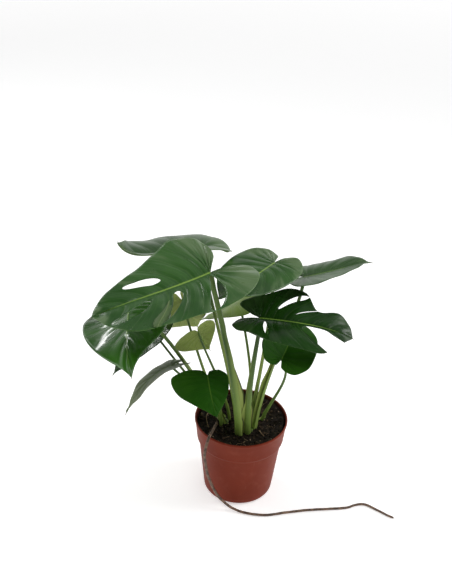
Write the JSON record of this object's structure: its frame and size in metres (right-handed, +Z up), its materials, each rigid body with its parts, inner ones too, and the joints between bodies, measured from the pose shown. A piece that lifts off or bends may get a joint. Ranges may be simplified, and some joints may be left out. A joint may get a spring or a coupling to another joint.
{
  "type": "potted monstera plant",
  "caption": "Young Swiss cheese plant with heart-shaped and split leaves on long stalks in a terracotta-coloured nursery pot, with an aerial root trailing over the rim.",
  "frame": {"origin": "centre of the pot's flat underside", "axes": "+Z up; the big split leaf points to -X and -Y, the aerial root trails to +X in front of the pot at -Y"},
  "size_m": [0.567, 0.3765, 0.5056],
  "materials": {
    "pot": "thin moulded terracotta-coloured plastic, matte with faint scuffs",
    "soil": "dark fibrous potting compost, damp",
    "stem": "short green stem with brown leaf scars",
    "leaf": "leathery dark green leaf with a waxy sheen and pale veins",
    "young_leaf": "thinner leaf, seen from its paler matte underside",
    "petiole": "smooth green stalk, paler at its sheathed foot",
    "root": "brown wiry aerial root, slightly rough",
    "dead_root": "dry straw-coloured rootlet"
  },
  "bodies": {
    "root": {"pot": "pot", "soil": "soil", "stem_1": "stem", "stem_2": "stem", "stem_3": "stem", "blade_a": "leaf", "petiole_a": "petiole", "blade_b": "leaf", "petiole_b": "petiole", "blade_c": "leaf", "petiole_c": "petiole", "blade_d": "leaf", "petiole_d": "petiole", "blade_e": "leaf", "petiole_e": "petiole", "blade_f": "leaf", "petiole_f": "petiole", "blade_g": "leaf", "petiole_g": "petiole", "blade_h": "leaf", "petiole_h": "petiole", "blade_i": "leaf", "petiole_i": "petiole", "blade_j": "young_leaf", "petiole_j": "petiole", "blade_k": "young_leaf", "petiole_k": "petiole", "blade_l": "young_leaf", "petiole_l": "petiole", "blade_m": "leaf", "petiole_m": "petiole", "cataphyll": "petiole", "aerial_root": "root", "dead_root": "dead_root", "twig": "dead_root"}
  },
  "joints": []
}
